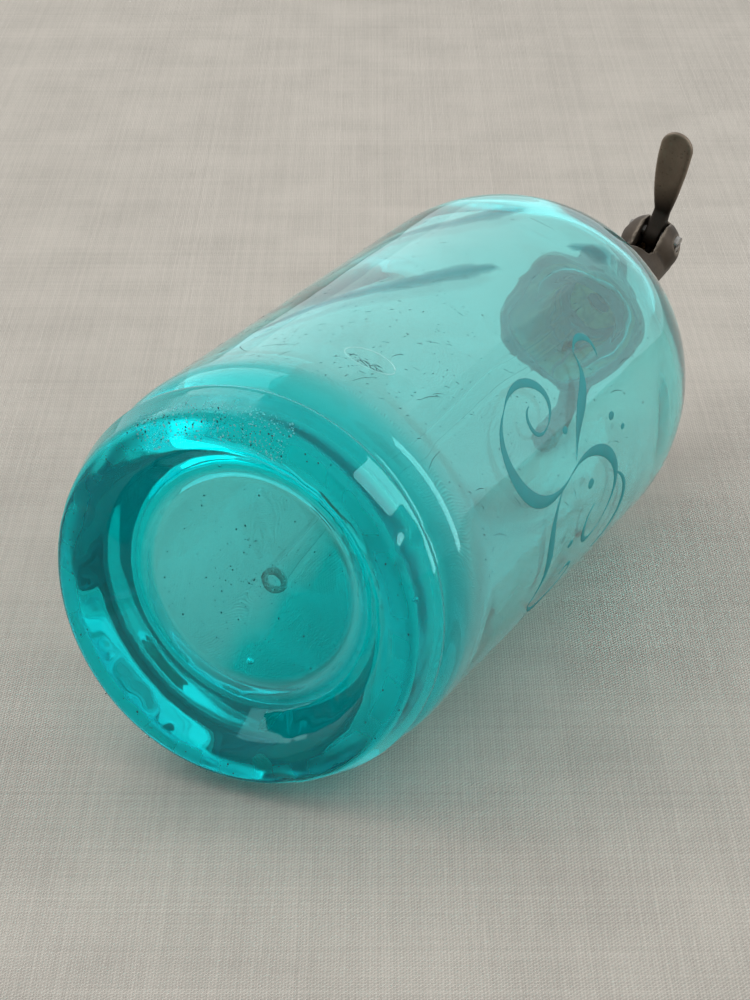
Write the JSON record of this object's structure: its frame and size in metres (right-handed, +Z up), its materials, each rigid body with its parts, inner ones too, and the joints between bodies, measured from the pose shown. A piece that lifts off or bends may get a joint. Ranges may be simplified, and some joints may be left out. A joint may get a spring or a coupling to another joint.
{
  "type": "soda siphon bottle",
  "caption": "Antique siphon bottle of thick turquoise glass with a pewter valve head, curved spout and thumb lever, lying on its side.",
  "frame": {"origin": "on the surface that the bottle lies on, under the centre of its bounding box", "axes": "+Y along the bottle's axis from foot to head, +Z up from the surface, the lever leans from +Z towards +X"},
  "size_m": [0.102, 0.2946, 0.102],
  "materials": {
    "bottle_glass": "clear turquoise, glossy, worn and pitted at the foot",
    "tube_glass": "clear, glossy",
    "pewter": "dull dark pewter, worn brighter on its edges",
    "brass": "turned, tarnished",
    "rubber": "matte, aged",
    "fibre": "pressed fibre and leather, matte",
    "steel": "satin, slightly dulled"
  },
  "bodies": {
    "bottle": {"glass_bottle": "bottle_glass", "dip_tube": "tube_glass", "tube_sleeve": "rubber", "tube_nut": "brass", "neck_gasket": "rubber", "collet_half_left": "brass", "collet_half_right": "brass", "neck_ring": "pewter", "head_body": "pewter", "seat_gasket": "fibre", "valve_seat": "brass", "packing_ring": "fibre", "gland_nut": "brass", "valve_spring": "steel", "cap_washer": "fibre", "spring_cap": "pewter", "lever_pin": "steel"},
    "lever": {"lever": "pewter"},
    "stem": {"valve_stem": "brass", "valve_washer": "rubber", "washer_screw": "brass", "spring_plate": "brass"}
  },
  "joints": [
    {"name": "lever_press", "type": "hinge", "parent": "bottle", "child": "lever", "pos_m": [0.0026, 0.13234, 0.05962], "axis": [0.9573, 0, -0.289], "range_deg": [0, 14], "stiffness_Nm_per_rad": 0.16, "springref_deg": -22.92},
    {"name": "stem_lift", "type": "slide", "parent": "bottle", "child": "stem", "axis": [0, 1, 0], "range_m": [0, 0.0022], "deforming": ["valve_spring"]}
  ],
  "couplings": [
    {"joint": "stem_lift", "follows": "lever_press", "m_per_rad": 0.009}
  ]
}
